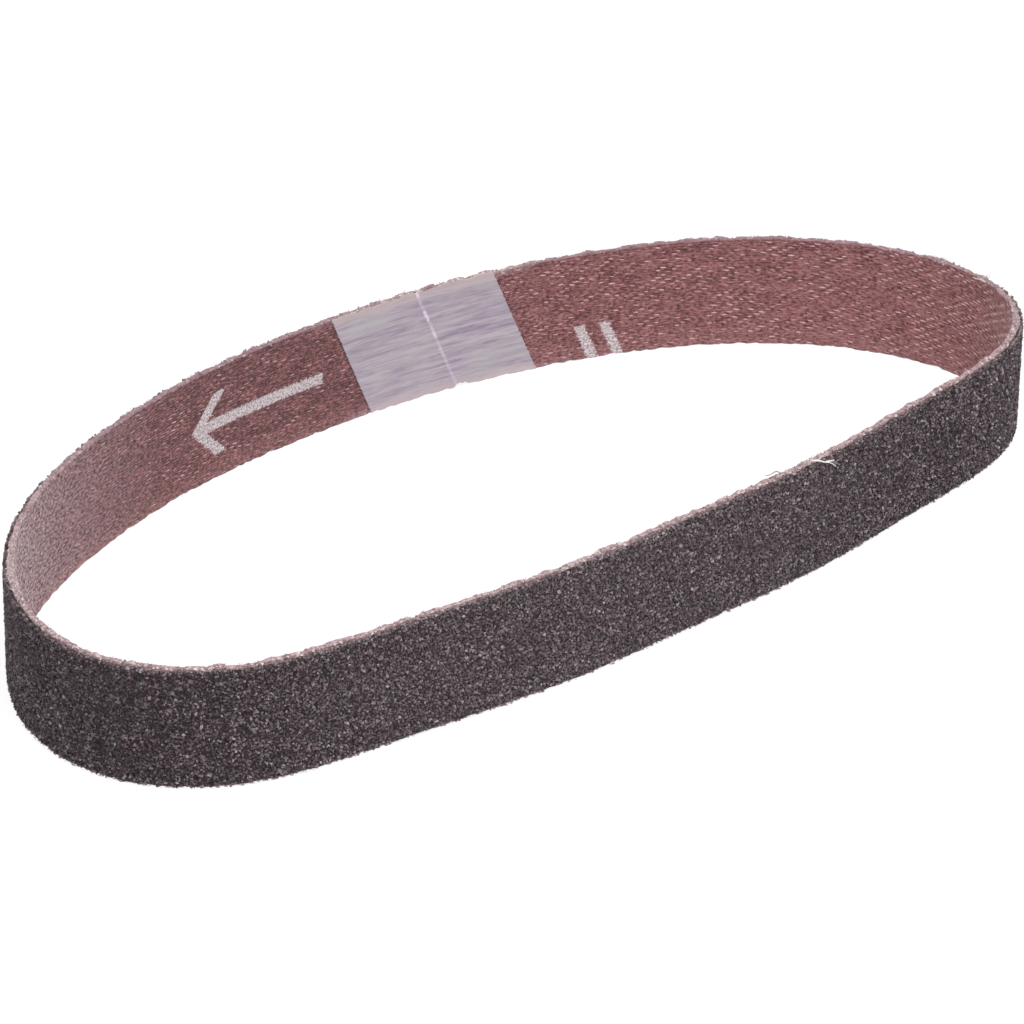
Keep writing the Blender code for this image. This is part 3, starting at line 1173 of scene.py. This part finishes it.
def make_lower_fuzz(fibre):
    """The fuzz of the lower edge, which shows as a pale line under the grain."""
    count = LOWER_FIBRES
    along = random.uniform(0, BELT_LENGTH, count)
    depth = random.uniform(-GRAIN_TOP / MM, CLOTH_THICKNESS / MM, count) * MM
    outward = np.where(depth < CLOTH_THICKNESS / 2, -1, 1)
    height = np.interp(along, *low_edge) + random.uniform(0.05, 0.3, count) * MM
    length = random.gamma(3.0, 0.06, count) * MM
    forward, sideways = random.normal(0, 1.0, count), outward * random.uniform(0, 0.5, count)
    directions = np.stack([forward, sideways, random.uniform(-0.5, 0.2, count)], -1)
    width = FIBRE_WIDTH * random.uniform(0.6, 1.2, count)
    turns, tones = pointing(directions), random.beta(2.4, 1.3, count)
    places, sizes = np.stack([along, depth, height], -1), np.stack([length, width, width], -1)
    return laid("lower_fuzz", [fibre], places, sizes, turns, tones)


def cotton_material():
    material, tree, surface = new_material("cut_cotton", 0.9)
    _uv, along, _across = strip_place(tree)
    tint = colours(
        stored(tree, "tone"),
        (0.0, (0.22, 0.125, 0.13)),
        (0.4, (0.38, 0.27, 0.275)),
        (0.75, (0.6, 0.5, 0.505)),
        (1.0, (0.8, 0.75, 0.745)),
    )
    tint = blend(times(minus(1.0, pale_rim(along)), 0.55), tint, RIM_BACK)
    feed(surface, {"Base Color": tint, "Sheen Weight": 0.3, "Specular IOR Level": 0.2})
    return material


cotton = cotton_material()
fibre = bowed_fibre()
lint, upper_fuzz, lower_fuzz = make_lint(), make_upper_fuzz(fibre), make_lower_fuzz(fibre)
for piece in (lint, upper_fuzz, lower_fuzz):
    finish_piece(piece, cotton, "cloth")

# %% [markdown]
# ## Loose threads
# A few single threads came free. One white thread hangs over the grain side, and a short spur stands up
# beside it. They are curves with a round section, written as places along the strip, depths and heights.

# %% Threads
THREAD_WIDTH = 0.18 * MM
DULL_THREAD_MM = (11.2, 1.8)
THREADS_MM = (
    (
        (17.0, 0.2, 12.72),
        (17.5, -0.4, 12.74),
        (18.2, -0.62, 12.42),
        (19.1, -0.66, 12.02),
        (20.1, -0.6, 11.25),
    ),
    ((18.5, -0.6, 12.36), (19.1, -0.7, 12.24), (19.7, -0.66, 12.1)),
    ((12.6, 0.2, 12.8), (11.9, 0.3, 13.25), (11.0, 0.25, 13.22), (10.2, 0.15, 13.42)),
    ((69.2, 0.5, 12.6), (69.8, 0.75, 12.74), (70.6, 0.8, 12.6), (71.2, 0.7, 12.5)),
)


def make_threads():
    data = bpy.data.curves.new("loose_threads", "CURVE")
    set_up(data, dimensions="3D", bevel_depth=THREAD_WIDTH / 2, bevel_resolution=1)
    set_up(data, resolution_u=8, use_fill_caps=True)
    for places in THREADS_MM:
        places = [(belt_place(along), depth * MM, height * MM) for along, depth, height in places]
        points = add_spline(data, places).bezier_points
        for point, radius in zip(points, np.linspace(1, 0.5, len(points))):
            point.radius = radius
    threads = placed("loose_threads", data)
    only(threads)
    bpy.ops.object.convert(target="MESH")
    threads = bpy.context.object
    middle, reach = DULL_THREAD_MM
    dull = np.abs(coordinates(threads)[:, 0] - belt_place(middle)) < reach * MM
    store(threads.data, "tone", np.where(dull, 0.35, 0.95))
    wrap(threads)
    return threads


threads = make_threads()
finish_piece(threads, cotton, "cloth")

# %% [markdown]
# ## Finish
# The guide curve has done its work, so the last cell removes it. Then it prints how many triangles the
# pieces have in all.

# %% Sizes
bpy.data.objects.remove(guide)
print("triangles in all:", sum(triangles_made.values()))
